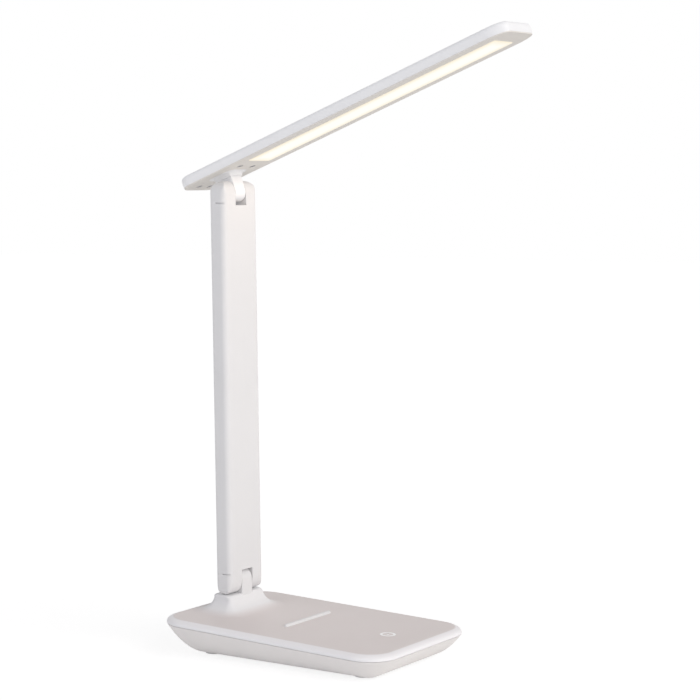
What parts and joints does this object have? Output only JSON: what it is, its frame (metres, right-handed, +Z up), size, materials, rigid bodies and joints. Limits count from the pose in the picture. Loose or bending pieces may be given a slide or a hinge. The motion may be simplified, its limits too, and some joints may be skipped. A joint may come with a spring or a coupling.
{
  "type": "folding led desk lamp",
  "caption": "Folding desk lamp: rounded weighted base with a coved neck and touch key, flat upright arm, and slim tilting light bar with a lit window; hinged at neck and head.",
  "frame": {"origin": "on the desk, straight below the base hinge axis, in the lamp's plane of symmetry", "axes": "+X towards the front of the base, +Y to the left seen from the front, +Z up; both hinge axes run along Y"},
  "size_m": [0.2675, 0.1194, 0.4275],
  "materials": {
    "white_plastic": "fine satin moulded ABS, white",
    "key_lens": "white lens with a paler printed power symbol",
    "opal_diffuser": "opal acrylic, lit warm white",
    "clear_guide": "clear acrylic",
    "reflector_white": "white film",
    "spreader_aluminium": "plain folded sheet",
    "led_strip": "white strip with warm LED chips",
    "weight_steel": "plain steel plate",
    "battery_wrap": "wrapped flat cell",
    "circuit_board": "solder mask",
    "inlet_metal": "drawn steel shell",
    "contact_foil": "copper foil on conductive foam",
    "screw_steel": "zinc plated",
    "hinge_steel": "plated steel",
    "washer_plastic": "natural nylon",
    "wire_sleeve": "insulated wire",
    "foot_rubber": "soft grey rubber"
  },
  "bodies": {
    "base": {"base_top_cover": "white_plastic", "base_tray": "white_plastic", "counterweight": "weight_steel", "battery_pack": "battery_wrap", "charging_board": "circuit_board", "power_inlet": "inlet_metal", "touch_board": "circuit_board", "touch_electrode": "contact_foil", "touch_key_lens": "key_lens", "tray_screws": "screw_steel", "rubber_feet": "foot_rubber", "lower_hinge_pins": "hinge_steel", "lower_thrust_washers": "washer_plastic", "lower_spring_washers": "hinge_steel", "lower_hinge_nuts": "hinge_steel"},
    "arm": {"arm_shell": "white_plastic", "arm_back_cover": "white_plastic", "arm_wires": "wire_sleeve"},
    "head": {"head_knuckle": "white_plastic", "head_top_shell": "white_plastic", "head_bezel": "white_plastic", "diffuser_panel": "opal_diffuser", "light_guide": "clear_guide", "reflector_sheet": "reflector_white", "heat_spreader": "spreader_aluminium", "led_strips": "led_strip", "head_screws": "screw_steel", "upper_hinge_pins": "hinge_steel", "upper_thrust_washers": "washer_plastic", "upper_spring_washers": "hinge_steel", "upper_hinge_nuts": "hinge_steel"}
  },
  "joints": [
    {"name": "base_hinge", "type": "hinge", "parent": "base", "child": "arm", "pos_m": [0, 0, 0.0475], "axis": [0, 1, 0], "range_deg": [0, 90]},
    {"name": "head_hinge", "type": "hinge", "parent": "arm", "child": "head", "pos_m": [0, 0, 0.322], "axis": [0, 1, 0], "range_deg": [-30, 110]}
  ]
}
